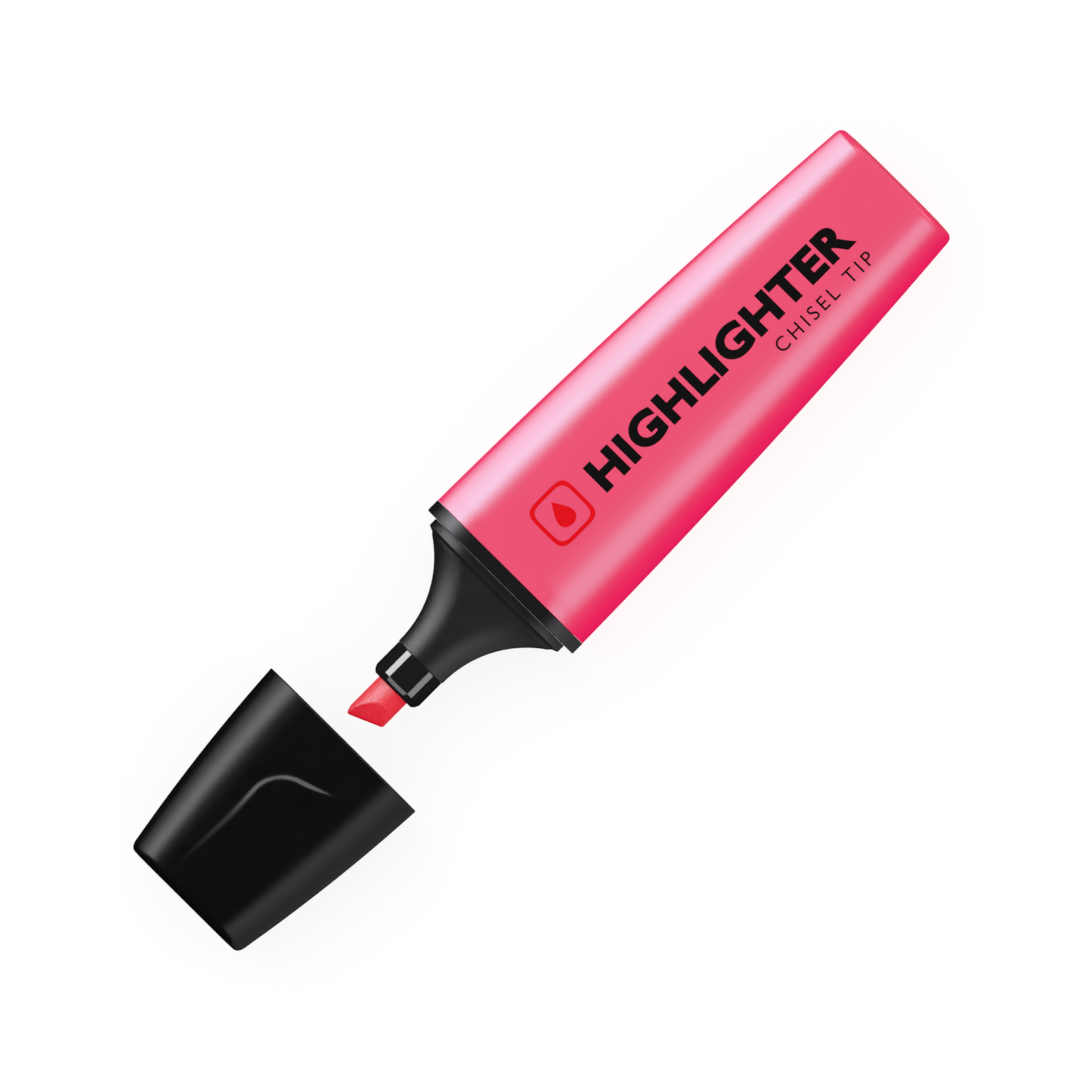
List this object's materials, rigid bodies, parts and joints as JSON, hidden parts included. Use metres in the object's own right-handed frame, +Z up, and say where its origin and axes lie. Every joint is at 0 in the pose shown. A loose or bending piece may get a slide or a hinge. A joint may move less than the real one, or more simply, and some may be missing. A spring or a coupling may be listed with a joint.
{
  "type": "highlighter",
  "caption": "Flat-bodied highlighter pen with a slanted chisel nib on a flared grip and a pull-off cap that seals the nib.",
  "frame": {"origin": "on the surface the pen lies on, under the middle of the whole length with the cap off", "axes": "+X along the pen from the cap towards the closed end of the barrel, +Y across the wide face towards the foremost corner of the nib, +Z up out of the wide face"},
  "size_m": [0.1346, 0.0272, 0.017],
  "materials": {
    "barrel": "satin moulded polypropylene in fluorescent pink, with black and red print",
    "collar": "glossy black moulded polypropylene",
    "grip": "fine-grained matte black moulded polypropylene",
    "nozzle": "polished black moulded plastic",
    "nib": "bonded fibre soaked with pink ink",
    "fibre": "ink-soaked fibre bundle",
    "film": "thin clear film",
    "cap": "satin-gloss black moulded polypropylene",
    "seal": "soft black polyethylene",
    "print_black": "black printed ink on the barrel",
    "print_red": "red printed ink on the barrel"
  },
  "bodies": {
    "pen": {"barrel": "barrel", "collar_plug": "collar", "grip_section": "grip", "nib_holder": "nozzle", "nib": "nib", "reservoir_core": "fibre", "reservoir_film": "film"},
    "cap": {"cap_shell": "cap", "inner_cap": "seal"}
  },
  "joints": [
    {"name": "cap_slide", "type": "slide", "parent": "pen", "child": "cap", "axis": [1, 0, 0], "range_m": [0, 0.02945]}
  ]
}
